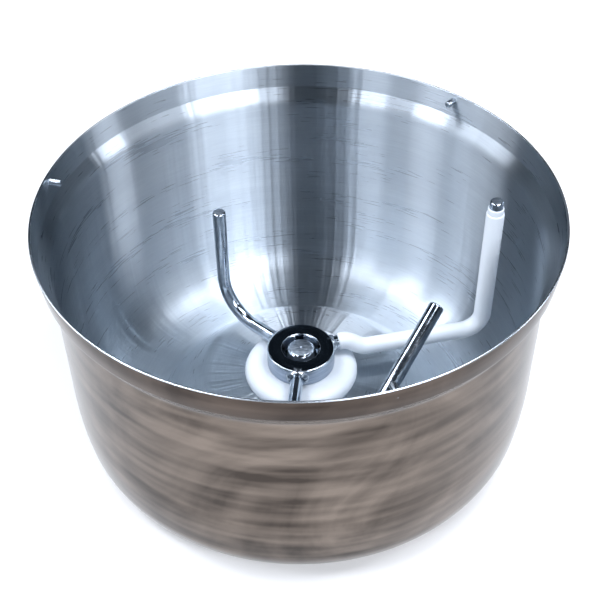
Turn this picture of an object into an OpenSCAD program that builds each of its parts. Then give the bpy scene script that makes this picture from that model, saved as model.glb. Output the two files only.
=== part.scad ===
// Kneading bowl for a dough machine, with its lift-out three-armed kneading tool.
// A deep drawn stainless bowl stands on a narrow ring around a raised centre.
// The raised centre hides the sealed bearing housing, the drive dog and the lock ring.
// Frame: origin at the centre of the base, on the surface the bowl stands on; +Z up.

/* [Bowl] */
// outer radius of the rim
rim_r = 180; // [120:1:240]
// height of the rim above the surface it stands on
bowl_h = 200; // [120:1:280]
// thickness of the steel sheet
sheet = 1.5; // [0.8:0.1:3]
// height of the flared collar under the rim
collar_h = 17.7; // [6:0.1:30]
// how far the collar flares outwards, in degrees
collar_flare = 7; // [0:0.5:15]
// outer radius of the wall where the shoulder under the collar begins
wall_top_r = 170.6; // [110:0.1:230]
// how far the wall leans outwards, in degrees
wall_lean = 0.3; // [0:0.1:10]
// bend radius between the collar and the shoulder
collar_bend = 3; // [2:0.5:12]
// bend radius between the shoulder and the wall
shoulder_bend = 12; // [2:0.5:16]
// steepest lean of the shoulder, in degrees from upright
shoulder_lean = 35; // [20:1:80]
// radius of the long curve that draws the wall in towards the base
draw_in_bend = 280; // [100:10:600]
// lean that the wall has reached where the knuckle starts, in degrees
draw_in_lean = 8; // [2:0.5:20]
// outside bend radius between the wall and the base
knuckle_r = 38; // [10:1:60]

/* [Raised centre] */
// height of the raised centre, under the sheet
dome_h = 35.5; // [20:0.5:60]
// inner radius of the flat ring the bowl stands on
foot_in_r = 120; // [80:1:140]
// slope of the raised centre's flank, in degrees
dome_slope = 45; // [20:1:70]
// bend radius at the top of the flank, under the sheet
dome_top_bend = 16; // [4:1:40]
// bend radius at the foot of the flank, under the sheet
dome_foot_bend = 22; // [4:1:40]
// radius of the hole for the bearing housing
floor_hole_r = 20.7; // [15:0.1:30]

/* [Lid pins] */
// radius of the three pins that a lid's catches turn under
lid_pin_r = 2.5; // [1.5:0.1:5]
// how far a pin stands into the bowl
lid_pin_reach = 8; // [4:0.5:15]
// depth of the pins' centre line below the rim
lid_pin_drop = 5.4; // [4:0.1:12]
// direction of the first pin, in degrees
lid_pin_az = 47.8; // [0:0.1:120]

/* [Kneading tool] */
// outer radius of the hub
hub_r = 25.5; // [18:0.5:40]
// height of the hub's top face
hub_top = 63.6; // [50:0.1:90]
// height of the hub ring
hub_h = 15; // [10:0.5:30]
// radius of the recess mouth in the hub's top
recess_r = 14.6; // [12:0.1:20]
// depth of the recess
recess_d = 5.5; // [2:0.1:9]
// radius of the arms' rods
rod_r = 5; // [3:0.1:8]
// height of the arms' centre line
arm_z = 56.5; // [45:0.5:80]
// distance from the axis at which the rods start, inside the hub
rod_start = 17.5; // [15:0.5:22]
// centre-line bend radius of the short arm
short_bend = 32; // [10:1:40]
// centre-line bend radius of the swept arm
swept_bend = 25; // [10:1:40]
// centre-line bend radius of the sleeved arm's elbow
sleeved_bend = 15.5; // [10:0.5:30]
// centre-line bend radius of the sleeved arm's joggle near the hub
joggle_bend = 14; // [10:1:15]
// direction of the short arm, in degrees
short_az = 137.9; // [100:0.1:170]
// distance of the short arm's riser from the axis
short_reach = 79; // [50:1:150]
// height of the short arm's tip
short_top = 153; // [90:0.5:190]
// height of the sleeved arm's tip
sleeved_top = 175.3; // [90:0.1:190]

/* [Plastic parts] */
// outer radius of the sleeve on the long arm
sleeve_r = 6.6; // [6:0.1:10]
// radius of the sleeve's narrow neck near the tip
sleeve_neck_r = 5.8; // [5.5:0.1:8]
// radius of the rounding at the sleeve's start
sleeve_round = 1.2; // [0.4:0.1:1.4]
// outer radius of the splash disc under the hub
disc_r = 43; // [30:0.5:60]
// lowest height of the splash disc's skirt
disc_low = 38.5; // [37.5:0.1:45]

/* [Bearing housing] */
// radius of the drive shaft where the hub and the bearings sit
shaft_r = 10; // [8:0.5:15]
// radius of the shaft under the seal
journal_r = 12; // [10:0.5:18]
// radial running clearance of the hub on the shaft, and of the seal's lip
run_gap = 0.05; // [0.02:0.01:0.1]
// outer radius of the ball bearings
bearing_r = 16; // [14:0.5:24]
// width of a ball bearing
bearing_w = 7; // [5:0.5:12]
// radius of the bearing balls
ball_r = 1.75; // [1:0.05:3]
// radius of the housing's flange
flange_r = 42; // [35:1:55]
// radius of the circle the six studs stand on
stud_circle_r = 31.5; // [28:0.5:40]

/* [Drive dog and lock ring] */
// radius of the drive dog's plate
dog_r = 30; // [24:0.5:33]
// radius of the three drive pin holes
dog_hole_r = 4.1; // [2.5:0.1:6]
// radius of the dog's centring bore
dog_centre_r = 8.1; // [6.5:0.1:10]
// radius of the circle the drive pin holes lie on
dog_circle_r = 22; // [16:0.5:26]
// inner radius of the lock ring's wall
lock_in_r = 38; // [36:0.5:50]
// outer radius over the lock ring's lugs
lug_r = 51; // [44:0.5:60]

/* [Hidden] */
$fn = 96;
eps = 0.05;
steel = [0.74, 0.76, 0.79];
dark_steel = [0.42, 0.44, 0.47];
white = [0.87, 0.91, 0.94];
cast = [0.62, 0.63, 0.65];
black_rubber = [0.08, 0.08, 0.09];
bronze = [0.62, 0.45, 0.25];
arc_steps = 14;

// bowl outline
collar_low = bowl_h - collar_h;
collar_low_r = rim_r - collar_h * tan(collar_flare);
shoulder_fall = collar_low_r - wall_top_r;
shoulder_arc_in = shoulder_bend * (cos(wall_lean) - cos(shoulder_lean));
shoulder_arc_out = collar_bend * (cos(collar_flare) - cos(shoulder_lean));
shoulder_run = (shoulder_fall - shoulder_arc_in - shoulder_arc_out) / sin(shoulder_lean);
shoulder_h = shoulder_bend * (sin(shoulder_lean) - sin(wall_lean))
    + collar_bend * (sin(shoulder_lean) - sin(collar_flare)) + shoulder_run * cos(shoulder_lean);
wall_top = collar_low - shoulder_h;
knuckle_top = knuckle_r * (1 - sin(draw_in_lean));
wall_low = knuckle_top + draw_in_bend * (sin(draw_in_lean) - sin(wall_lean));
wall_low_r = wall_top_r - (wall_top - wall_low) * tan(wall_lean);
knuckle_top_r = wall_low_r - draw_in_bend * (cos(wall_lean) - cos(draw_in_lean));
foot_out_r = knuckle_top_r - knuckle_r * cos(draw_in_lean);
dome_bends = (dome_top_bend + dome_foot_bend) * (1 - cos(dome_slope));
dome_run = (dome_h - dome_bends) / tan(dome_slope);
dome_flat_r = foot_in_r - dome_run - (dome_top_bend + dome_foot_bend) * sin(dome_slope);
floor_top = dome_h + sheet;
edge_round = 0.35;

// levels along the shaft
gasket_t = 1;
flange_t = 6;
flange_top = dome_h - gasket_t;
flange_low = flange_top - flange_t;
neck_r = floor_hole_r - 0.2;
neck_top = 42;
seal_r = 18;
seal_low = 36.5;
seal_h = 5;
stop_r = 14.5;
upper_bearing_z = 27;
lower_bearing_z = 13;
housing_r = 24;
housing_low = 9.5;
clip_t = 1.5;
clip_w = 2.7;
clip_gap = 10;
clip_eye_r = 1.9;
clip_eye_hole_r = 0.9;
clip_eye_turn = clip_gap + 4;
clip_groove_d = 1.3;
shoulder_z = upper_bearing_z + bearing_w;
journal_top = 43.3;
washer_t = 1;
neck_gap = 0.3;
hub_low = hub_top - hub_h;
hub_neck_r = 16;
hub_neck_low = journal_top + washer_t + neck_gap;
disc_under = hub_neck_low - 1;
disc_skirt_in_r = 38;
key_w = 6;
key_az = 95;
key_proud = 2.8;
key_seat = 3;
key_low = 48;
key_high = 57;
key_slot_gap = 0.35;
key_slot_over = 1.2;
ball_circle_r = 13;
ball_count = 11;
groove_gap = 0.06;
race_in_r = 11.9;
race_out_r = 14.1;
fit_gap = 0.02;

// drive dog
dog_low = 2;
dog_top = 8.7;
dog_hub_r = 11.8;
centre_depth = 3.5;
web_low = dog_low + centre_depth;
web_t = 3;
web_top = web_low + web_t;
flats = 7;
screw_r = 3;
screw_slack = 0.2;
screw_head_r = 6.2;
screw_head_h = 2.8;
screw_reach = 16;
hex_r = 2.3;
tapped_h = 28;
dimple_d = 3;

// lock ring
lock_t = 4;
lock_top = flange_low;
lock_low = 8;
lock_wall = 4;
lug_h = 5;
lug_blend = 3.2;
lug_arc = 42;
nut_h = 4;
nut_flats = 8;
plain_t = 1;
washer_r = 5;
stud_r = 2.5;
stud_hole_r = 2.75;
stud_low = 17.5;
stud_count = 6;

// screws that hold the disc under the hub
disc_screw_r = 2;
disc_screw_head_r = 4;
disc_screw_bite = 6;
disc_screw_circle_r = 20.5;

// arms: each is a run of corners; the sleeved arm leaves the hub high and steps down
sleeved_low = 51.5;
sleeved_line = [
    [17, 8.6, 57],
    [35, 12.8, 58.4],
    [47.5, 12.2, sleeved_low],
    [140.9, 31.5, sleeved_low],
    [140.9, 31.5, sleeved_top],
];
sleeved_bends = [joggle_bend, joggle_bend, sleeved_bend];
sleeved_exit = sleeved_line[0] + unit(sleeved_line[1] - sleeved_line[0]) * 6.5;
sleeve_from = 12;
sleeve_top = sleeved_top - 5.9;
neck_h = 4.8;
vent_r = 0.75;
short_foot = [short_reach * cos(short_az), short_reach * sin(short_az), arm_z];
short_dir = [cos(short_az), sin(short_az), 0];
swept_az = 263.5;
swept_dir = [cos(swept_az), sin(swept_az), 0];
swept_far = 142;
swept_line = [
    swept_dir * rod_start + [0, 0, arm_z],
    swept_dir * swept_far + [0, 0, arm_z],
    [34.9, -148.4, 129.4],
    [87.3, -77.6, 176.6],
];
swept_bends = [swept_bend, swept_bend];
tip_chamfer = 0.8;
lap = 0.4;
bend_slim = 0.02;
weld_leg = 2.6;
weld_in = 4;
weld_flat = 5.4;
weld_slope = 2.8;

// a point of a bent sheet: place on the underside, and the direction towards its upper side
function bend_points(c, r, a0, a1, side) = [
    for (i = [0 : arc_steps])
        let (a = a0 + (a1 - a0) * i / arc_steps)
        [c[0] + r * cos(a), c[1] + r * sin(a), -side * cos(a), -side * sin(a)]
];

// the sheet's under and outer side, from the hole in the floor out to the rim
function shell_line() = concat(
    [[floor_hole_r, dome_h, 0, 1]],
    bend_points([dome_flat_r, dome_h - dome_top_bend], dome_top_bend, 90, 90 - dome_slope, -1),
    bend_points([foot_in_r, dome_foot_bend], dome_foot_bend, 270 - dome_slope, 270, 1),
    bend_points([foot_out_r, knuckle_r], knuckle_r, -90, -draw_in_lean, 1),
    bend_points([knuckle_top_r - draw_in_bend * cos(draw_in_lean),
        knuckle_top + draw_in_bend * sin(draw_in_lean)],
        draw_in_bend, -draw_in_lean, -wall_lean, 1),
    bend_points([wall_top_r + shoulder_bend * cos(wall_lean), wall_top - shoulder_bend * sin(wall_lean)],
        shoulder_bend, 180 - wall_lean, 180 - shoulder_lean, -1),
    bend_points([collar_low_r - collar_bend * cos(collar_flare),
        collar_low + collar_bend * sin(collar_flare)],
        collar_bend, -shoulder_lean, -collar_flare, 1),
    [[rim_r - edge_round * tan(collar_flare), bowl_h - edge_round, -cos(collar_flare), sin(collar_flare)]]
);

module sheet_outline() {
    line = shell_line();
    under = [for (p = line) [p[0], p[1]]];
    upper = [for (i = [len(line) - 1 : -1 : 0])
        [line[i][0] + sheet * line[i][2], line[i][1] + sheet * line[i][3]]];
    lip = [[rim_r - edge_round, bowl_h], [rim_r - sheet + edge_round, bowl_h]];
    polygon(concat(under, lip, upper));
}

// turns a shape's +Z onto the direction d, with its +X as near to s as it can be
module aim(at, d, s) {
    z = d / norm(d);
    y0 = cross(z, s);
    y = y0 / norm(y0);
    x = cross(y, z);
    multmatrix([
        [x[0], y[0], z[0], at[0]],
        [x[1], y[1], z[1], at[1]],
        [x[2], y[2], z[2], at[2]],
    ])
        children();
}

// a length of round bar or tube from p to q, with a chamfer at q
module bar(p, q, r, hole = 0, chamfer = 0) {
    run = norm(q - p);
    side = abs((q - p)[2]) > 0.9 * run ? [1, 0, 0] : [0, 0, 1];
    aim(p, q - p, side)
        rotate_extrude()
            polygon([
                [hole, 0], [r, 0], [r, run - max(chamfer, eps)], [r - chamfer, run], [hole, run],
            ]);
}

// a bend that leaves the corner c's first leg u for its second leg v
// its wall is a hair thinner than the straight legs that lap over its ends
module elbow(c, u, v, bend, r, hole = 0) {
    turn = acos(u * v);
    start = c - u * bend * tan(turn / 2);
    inward = unit(v - u * (u * v));
    aim(start + inward * bend, cross(u, inward), -inward)
        rotate_extrude(angle = turn)
            translate([bend, 0])
                difference() {
                    circle(r = r - bend_slim);
                    if (hole > 0) {
                        circle(r = hole + bend_slim);
                    }
                }
}

function unit(v) = v / norm(v);
function set_back(u, v, bend) = bend * tan(acos(u * v) / 2);

// a round bar through the corners of a line, with a chamfered free end
module bent_bar(line, bends, r) {
    last = len(line) - 2;
    for (i = [0 : last]) {
        d = unit(line[i + 1] - line[i]);
        before = i == 0 ? 0 : set_back(unit(line[i] - line[i - 1]), d, bends[i - 1]) - lap;
        after = i == last ? 0 : set_back(d, unit(line[i + 2] - line[i + 1]), bends[i]) - lap;
        bar(line[i] + d * before, line[i + 1] - d * after, r, 0, i == last ? tip_chamfer : 0);
        if (i < last) {
            elbow(line[i + 1], d, unit(line[i + 2] - line[i + 1]), bends[i], r);
        }
    }
}

// a ring with a square section
module ring(low, high, in_r, out_r) {
    translate([0, 0, low])
        difference() {
            cylinder(h = high - low, r = out_r);
            translate([0, 0, -eps])
                cylinder(h = high - low + 2 * eps, r = in_r);
        }
}

module around(count, r, first = 0) {
    for (i = [0 : count - 1]) {
        rotate([0, 0, first + i * 360 / count])
            translate([r, 0, 0])
                children();
    }
}

module bowl_shell() color(steel) {
    difference() {
        rotate_extrude()
            sheet_outline();
        for (i = [0 : 2]) {
            lid_pin_place(i)
                translate([0, 0, -sheet - 1])
                    cylinder(h = sheet + 3, r = lid_pin_r + fit_gap);
        }
    }
}

// the pin's own axis runs inwards from the collar's inner face
module lid_pin_place(i) {
    rotate([0, 0, lid_pin_az + i * 120])
        translate([rim_r - lid_pin_drop * tan(collar_flare) - sheet, 0, bowl_h - lid_pin_drop])
            rotate([0, -90, 0])
                children();
}

// riveted through the collar, with a flush outer end and a domed inner end
module lid_pin(i) color(steel) {
    round_off = 1.2;
    lid_pin_place(i)
        rotate_extrude()
            intersection() {
                union() {
                    translate([0, -sheet + 0.1])
                        square([lid_pin_r, sheet + lid_pin_reach - round_off - 0.1]);
                    translate([0, -sheet])
                        square([lid_pin_r - round_off, sheet + lid_pin_reach]);
                    translate([lid_pin_r - round_off, lid_pin_reach - round_off])
                        circle(r = round_off);
                }
                translate([0, -sheet])
                    square([lid_pin_r, 2 * sheet + lid_pin_reach]);
            }
}

module lid_pin_right() lid_pin(0);

module lid_pin_left() lid_pin(1);

module lid_pin_front() lid_pin(2);

module floor_studs() color(steel) {
    around(stud_count, stud_circle_r) {
        translate([0, 0, stud_low + 0.5])
            cylinder(h = dome_h - stud_low - 0.5, r = stud_r);
        translate([0, 0, stud_low])
            cylinder(h = 0.5, r1 = stud_r - 0.5, r2 = stud_r);
    }
}

module stud_holes(low, high) {
    around(stud_count, stud_circle_r)
        translate([0, 0, low - 1])
            cylinder(h = high - low + 2, r = stud_hole_r);
}

module housing_gasket() color(black_rubber) {
    difference() {
        ring(flange_top, dome_h, neck_r + fit_gap, flange_r);
        stud_holes(flange_top, dome_h);
    }
}

module bearing_housing() color(cast) {
    groove_r = bearing_r + clip_groove_d;
    difference() {
        union() {
            ring(flange_low, flange_top, bearing_r, flange_r);
            ring(housing_low, flange_low, bearing_r, housing_r);
            translate([0, 0, flange_top])
                cylinder(h = neck_top - flange_top - 1, r = neck_r);
            translate([0, 0, neck_top - 1])
                cylinder(h = 1, r1 = neck_r, r2 = neck_r - 1);
        }
        translate([0, 0, housing_low - 1])
            cylinder(h = shoulder_z - housing_low + 1, r = bearing_r + fit_gap);
        translate([0, 0, housing_low])
            cylinder(h = neck_top, r = stop_r);
        translate([0, 0, seal_low])
            cylinder(h = neck_top, r = seal_r + fit_gap);
        translate([0, 0, lower_bearing_z - clip_t - 0.1])
            cylinder(h = clip_t + 0.1, r = groove_r);
        stud_holes(flange_low, flange_top);
    }
}

module shaft_seal() color(black_rubber) {
    lip_r = journal_r + run_gap;
    translate([0, 0, seal_low])
        rotate_extrude()
            polygon([
                [lip_r, 2], [lip_r, 2.6], [lip_r + 1.6, 3.8], [lip_r + 1.6, seal_h - 0.6],
                [lip_r + 0.4, seal_h], [seal_r - 0.4, seal_h], [seal_r, seal_h - 0.4],
                [seal_r, 0], [seal_r - 3, 0], [seal_r - 3, 1.2], [lip_r + 1.8, 1.2],
            ]);
}

module outer_race(z) color(dark_steel) {
    difference() {
        ring(z, z + bearing_w, race_out_r, bearing_r);
        groove(z);
    }
}

module inner_race(z) color(dark_steel) {
    difference() {
        ring(z, z + bearing_w, shaft_r + fit_gap, race_in_r);
        groove(z);
    }
}

module groove(z) {
    translate([0, 0, z + bearing_w / 2])
        rotate_extrude()
            translate([ball_circle_r, 0])
                circle(r = ball_r + groove_gap);
}

module balls(z) color(steel) {
    around(ball_count, ball_circle_r)
        translate([0, 0, z + bearing_w / 2])
            sphere(r = ball_r);
}

module upper_outer_race() outer_race(upper_bearing_z);

module upper_inner_race() inner_race(upper_bearing_z);

module upper_balls() balls(upper_bearing_z);

module lower_outer_race() outer_race(lower_bearing_z);

module lower_inner_race() inner_race(lower_bearing_z);

module lower_balls() balls(lower_bearing_z);

module outer_spacer() color(steel) {
    ring(lower_bearing_z + bearing_w, upper_bearing_z, race_out_r + 0.4, bearing_r);
}

module inner_spacer() color(steel) {
    ring(lower_bearing_z + bearing_w, upper_bearing_z, shaft_r + fit_gap, race_in_r - 0.4);
}

// an open ring with an eye at each end for the pliers
module housing_circlip() color(dark_steel) {
    clip_in_r = bearing_r - 1.6;
    low = lower_bearing_z - clip_t - eps;
    eyes = [clip_eye_turn, -clip_eye_turn];
    difference() {
        union() {
            rotate([0, 0, clip_gap])
                rotate_extrude(angle = 360 - 2 * clip_gap)
                    translate([clip_in_r, low])
                        square([clip_w, clip_t]);
            for (a = eyes) {
                rotate([0, 0, a])
                    translate([clip_in_r - 0.4, 0, low + 0.1])
                        cylinder(h = clip_t - 0.2, r = clip_eye_r);
            }
        }
        for (a = eyes) {
            rotate([0, 0, a])
                translate([clip_in_r - 0.6, 0, low - 1])
                    cylinder(h = clip_t + 2, r = clip_eye_hole_r);
        }
    }
}

// a flanged ring with three lugs that turn into the machine's bayonet
module lock_ring() color(cast) {
    difference() {
        union() {
            ring(lock_top - lock_t, lock_top, housing_r + 2, lock_in_r + lock_wall);
            ring(lock_low - 0.5, lock_top, lock_in_r, lock_in_r + lock_wall);
            for (i = [0 : 2]) {
                rotate([0, 0, 30 + i * 120 - lug_arc / 2])
                    rotate_extrude(angle = lug_arc)
                        translate([lock_in_r + 1, lock_low])
                            polygon([
                                [0, 0], [lug_r - lock_in_r - 2, 0], [lug_r - lock_in_r - 1, 1],
                                [lug_r - lock_in_r - 1, lug_h], [lug_blend - 1, lug_h + lug_blend],
                                [0, lug_h + lug_blend],
                            ]);
            }
        }
        stud_holes(lock_top - lock_t, lock_top);
    }
}

module stud_washers() color(steel) {
    around(stud_count, stud_circle_r)
        ring(lock_top - lock_t - plain_t, lock_top - lock_t, stud_hole_r, washer_r);
}

module stud_nuts() color(steel) {
    high = lock_top - lock_t - plain_t;
    around(stud_count, stud_circle_r)
        difference() {
            translate([0, 0, high - nut_h])
                cylinder(h = nut_h, r = nut_flats / 2 / cos(30), $fn = 6);
            translate([0, 0, high - nut_h - 1])
                cylinder(h = nut_h + 2, r = stud_r + fit_gap);
        }
}

module drive_shaft() color(steel) {
    difference() {
        union() {
            translate([0, 0, lower_bearing_z])
                cylinder(h = hub_top - 1 - lower_bearing_z, r = shaft_r);
            translate([0, 0, hub_top - 1])
                cylinder(h = 1, r1 = shaft_r, r2 = shaft_r - 1);
            translate([0, 0, shoulder_z])
                cylinder(h = journal_top - shoulder_z, r = journal_r);
            intersection() {
                translate([0, 0, web_top])
                    cylinder(h = lower_bearing_z - web_top, r = shaft_r - 0.5);
                translate([-shaft_r, -flats, 0])
                    cube([2 * shaft_r, 2 * flats, lower_bearing_z]);
            }
        }
        key_block(2 * key_seat);
        translate([0, 0, -eps])
            cylinder(h = tapped_h, r = screw_r - screw_slack / 2);
        translate([0, 0, hub_top - dimple_d])
            cylinder(h = dimple_d + 1, r1 = dimple_d / 5, r2 = dimple_d / 2);
    }
}

module key_block(depth) {
    rotate([0, 0, key_az])
        translate([shaft_r - key_seat, -key_w / 2, key_low])
            cube([depth, key_w, key_high - key_low]);
}

module drive_key() color(dark_steel) key_block(key_seat + key_proud);

module thrust_washer() color(bronze) {
    ring(journal_top, journal_top + washer_t, shaft_r + fit_gap, hub_neck_r - 0.5);
}

module drive_dog() color(cast) {
    difference() {
        union() {
            translate([0, 0, dog_low + 1])
                cylinder(h = dog_top - dog_low - 1, r = dog_r);
            translate([0, 0, dog_low])
                cylinder(h = 1, r1 = dog_r - 1, r2 = dog_r);
            translate([0, 0, dog_low])
                cylinder(h = lower_bearing_z - dog_low, r = dog_hub_r);
        }
        intersection() {
            translate([0, 0, web_top])
                cylinder(h = lower_bearing_z, r = shaft_r - 0.5 + fit_gap);
            translate([-shaft_r, -flats - fit_gap, 0])
                cube([2 * shaft_r, 2 * (flats + fit_gap), 2 * lower_bearing_z]);
        }
        translate([0, 0, dog_low - 1])
            cylinder(h = centre_depth + 1, r = dog_centre_r);
        translate([0, 0, dog_low])
            cylinder(h = web_top, r = screw_r + screw_slack);
        translate([0, 0, web_low - eps])
            cylinder(h = screw_head_h, r1 = screw_head_r, r2 = screw_r + screw_slack);
        around(3, dog_circle_r, 30)
            translate([0, 0, dog_low - 1])
                cylinder(h = dog_top - dog_low + 2, r = dog_hole_r);
    }
}

module dog_screw() color(dark_steel) {
    difference() {
        union() {
            translate([0, 0, web_low + screw_slack])
                cylinder(h = screw_head_h - screw_slack, r1 = screw_head_r - 0.3, r2 = screw_r - 0.15);
            translate([0, 0, web_low + screw_head_h])
                cylinder(h = screw_reach, r = screw_r - 0.15);
        }
        translate([0, 0, web_low - eps])
            cylinder(h = screw_head_h - 0.6, r = hex_r, $fn = 6);
    }
}

module rod_sockets() {
    for (d = [short_dir, swept_dir]) {
        bar(d * rod_start + [0, 0, arm_z], d * 2 * hub_r + [0, 0, arm_z], rod_r + fit_gap);
    }
    bar(sleeved_line[0], sleeved_line[1], rod_r + fit_gap);
}

module screw_places() {
    for (a = [75, 195, 315]) {
        rotate([0, 0, a])
            translate([disc_screw_circle_r, 0, 0])
                children();
    }
}

module hub() color(steel) {
    recess_floor = hub_top - recess_d;
    difference() {
        union() {
            translate([0, 0, hub_low])
                cylinder(h = hub_h - 1, r = hub_r);
            translate([0, 0, hub_top - 1])
                cylinder(h = 1, r1 = hub_r, r2 = hub_r - 1);
            translate([0, 0, hub_neck_low])
                cylinder(h = hub_low - hub_neck_low, r = hub_neck_r);
        }
        translate([0, 0, recess_floor])
            cylinder(h = recess_d + eps, r1 = shaft_r + 1.9, r2 = recess_r);
        translate([0, 0, hub_neck_low - 1])
            cylinder(h = hub_h * 2, r = shaft_r + run_gap);
        rotate([0, 0, key_az])
            translate([0, -key_w / 2 - key_slot_gap, hub_neck_low - 1])
                cube([shaft_r + key_proud + key_slot_over, key_w + 2 * key_slot_gap, hub_h * 2]);
        rod_sockets();
        screw_places()
            translate([0, 0, hub_low - 1])
                cylinder(h = disc_screw_bite + 1.5, r = disc_screw_r + fit_gap);
    }
}

module splash_disc() color(white) {
    skirt = disc_r - disc_skirt_in_r;
    shoulder = hub_r + 3;
    difference() {
        rotate_extrude()
            polygon(concat(
                [[hub_neck_r + fit_gap, disc_under], [disc_skirt_in_r - 1.5, disc_under],
                    [disc_skirt_in_r, disc_under - 1.5], [disc_skirt_in_r, disc_low],
                    [disc_r - 1.2, disc_low], [disc_r - 0.4, disc_low + 0.4]],
                [for (a = [0 : 9 : 90])
                    [shoulder + (disc_r - shoulder) * cos(a),
                        disc_low + 1.6 + (hub_low - disc_low - 1.6) * pow(sin(a), 0.8)]],
                [[hub_neck_r + fit_gap, hub_low]]
            ));
        screw_places() {
            translate([0, 0, disc_under - 1])
                cylinder(h = 10, r = disc_screw_r + 0.2);
            translate([0, 0, disc_under - eps])
                cylinder(h = 2.2, r1 = disc_screw_head_r + 0.4, r2 = disc_screw_r + 0.2);
        }
    }
}

module disc_screws() color(steel) {
    screw_places()
        difference() {
            union() {
                translate([0, 0, disc_under + 0.1])
                    cylinder(h = 2, r1 = disc_screw_head_r, r2 = disc_screw_r);
                translate([0, 0, disc_under + 2.1])
                    cylinder(h = hub_low + disc_screw_bite - disc_under - 2.1, r = disc_screw_r);
            }
            translate([0, 0, disc_under - eps])
                cylinder(h = 1.6, r = 1.6, $fn = 6);
        }
}

module short_arm() color(steel) {
    bent_bar([short_dir * rod_start + [0, 0, arm_z], short_foot, [short_foot[0], short_foot[1], short_top]],
        [short_bend], rod_r);
}

module sleeved_arm() color(steel) {
    bent_bar(sleeved_line, sleeved_bends, rod_r);
}

module swept_arm() color(steel) {
    bent_bar(swept_line, swept_bends, rod_r);
}

// the fillet of weld metal where a rod enters the hub
module weld(at, d) color(steel) {
    difference() {
        aim(at - d * weld_in, d, [0, 0, 1])
            union() {
                cylinder(h = weld_flat, r = rod_r + weld_leg);
                translate([0, 0, weld_flat])
                    cylinder(h = weld_slope, r1 = rod_r + weld_leg, r2 = rod_r + 0.5);
            }
        aim(at - d * 2 * weld_in, d, [0, 0, 1])
            cylinder(h = 5 * weld_in, r = rod_r + fit_gap);
        translate([0, 0, hub_low - 10])
            cylinder(h = hub_h + 20, r = hub_r + fit_gap);
    }
}

module short_arm_weld() weld(short_dir * hub_r + [0, 0, arm_z], short_dir);

module swept_arm_weld() weld(swept_dir * hub_r + [0, 0, arm_z], swept_dir);

module sleeved_arm_weld() weld(sleeved_exit, unit(sleeved_line[1] - sleeved_line[0]));

// a moulded sleeve with a rounded start, an elbow and a stepped neck
module arm_sleeve() color(white) {
    hole = rod_r + fit_gap;
    c = sleeved_line;
    d = [for (i = [0 : 3]) unit(c[i + 1] - c[i])];
    back = [for (i = [0 : 2]) set_back(d[i], d[i + 1], sleeved_bends[i]) - lap];
    from = c[0] + d[0] * sleeve_from;
    start = norm(c[1] - d[0] * back[0] - from);
    rise_from = sleeved_low + back[2];
    rise = sleeve_top - rise_from;
    step = rise - neck_h;
    difference() {
        union() {
            aim(from, d[0], [0, 0, 1])
                rotate_extrude()
                    polygon([
                        [hole, 0], [sleeve_r - sleeve_round, 0],
                        [sleeve_r - 0.3 * sleeve_round, 0.3 * sleeve_round],
                        [sleeve_r, sleeve_round], [sleeve_r, start], [hole, start],
                    ]);
            elbow(c[1], d[0], d[1], sleeved_bends[0], sleeve_r, hole);
            bar(c[1] + d[1] * back[0], c[2] - d[1] * back[1], sleeve_r, hole);
            elbow(c[2], d[1], d[2], sleeved_bends[1], sleeve_r, hole);
            bar(c[2] + d[2] * back[1], c[3] - d[2] * back[2], sleeve_r, hole);
            elbow(c[3], d[2], d[3], sleeved_bends[2], sleeve_r, hole);
            translate([c[3][0], c[3][1], rise_from])
                rotate_extrude()
                    polygon([
                        [hole, 0], [sleeve_r, 0], [sleeve_r, step - 0.8], [sleeve_r - 0.8, step],
                        [sleeve_neck_r, step], [sleeve_neck_r, rise - 0.5],
                        [sleeve_neck_r - 0.5, rise], [hole, rise],
                    ]);
        }
        aim(c[3] - d[2] * (back[2] + 2), [0.2, -1, -0.25], [0, 0, 1])
            cylinder(h = 2 * sleeve_r, r = vent_r);
    }
}

bowl_shell();
lid_pin_right();
lid_pin_left();
lid_pin_front();
floor_studs();
housing_gasket();
bearing_housing();
shaft_seal();
upper_outer_race();
upper_balls();
outer_spacer();
lower_outer_race();
lower_balls();
housing_circlip();
lock_ring();
stud_washers();
stud_nuts();
drive_shaft();
upper_inner_race();
inner_spacer();
lower_inner_race();
drive_key();
thrust_washer();
drive_dog();
dog_screw();
hub();
splash_disc();
disc_screws();
short_arm();
short_arm_weld();
swept_arm();
swept_arm_weld();
sleeved_arm();
sleeved_arm_weld();
arm_sleeve();
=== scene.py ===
"""A drawn stainless kneading bowl and its three-armed kneading tool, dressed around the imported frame."""

import math

import bmesh
import bpy
from mathutils import Matrix, Vector


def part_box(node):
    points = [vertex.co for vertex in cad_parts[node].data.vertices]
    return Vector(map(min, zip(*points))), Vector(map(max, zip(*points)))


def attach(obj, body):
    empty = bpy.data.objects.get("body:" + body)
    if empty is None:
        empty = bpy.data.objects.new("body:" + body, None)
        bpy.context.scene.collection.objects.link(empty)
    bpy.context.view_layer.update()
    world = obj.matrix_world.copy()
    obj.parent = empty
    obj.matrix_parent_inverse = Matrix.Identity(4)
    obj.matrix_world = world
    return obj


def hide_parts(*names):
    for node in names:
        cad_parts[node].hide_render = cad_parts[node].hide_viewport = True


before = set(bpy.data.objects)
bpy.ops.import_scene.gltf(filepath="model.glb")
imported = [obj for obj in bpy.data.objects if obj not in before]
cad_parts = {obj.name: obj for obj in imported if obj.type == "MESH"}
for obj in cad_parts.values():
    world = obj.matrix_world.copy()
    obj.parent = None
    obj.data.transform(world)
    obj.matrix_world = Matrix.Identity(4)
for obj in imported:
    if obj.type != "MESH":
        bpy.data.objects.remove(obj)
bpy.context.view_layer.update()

MM = 0.001
SHEET = 1.5 * MM
# The frame's flat facets lie a little inside the true round, at most this far.
FACET_GAP = 0.1 * MM


# ---------------------------------------------------------------- places, from the frame

def top(node):
    """Highest level of a CAD node."""
    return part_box(node)[1].z


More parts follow.
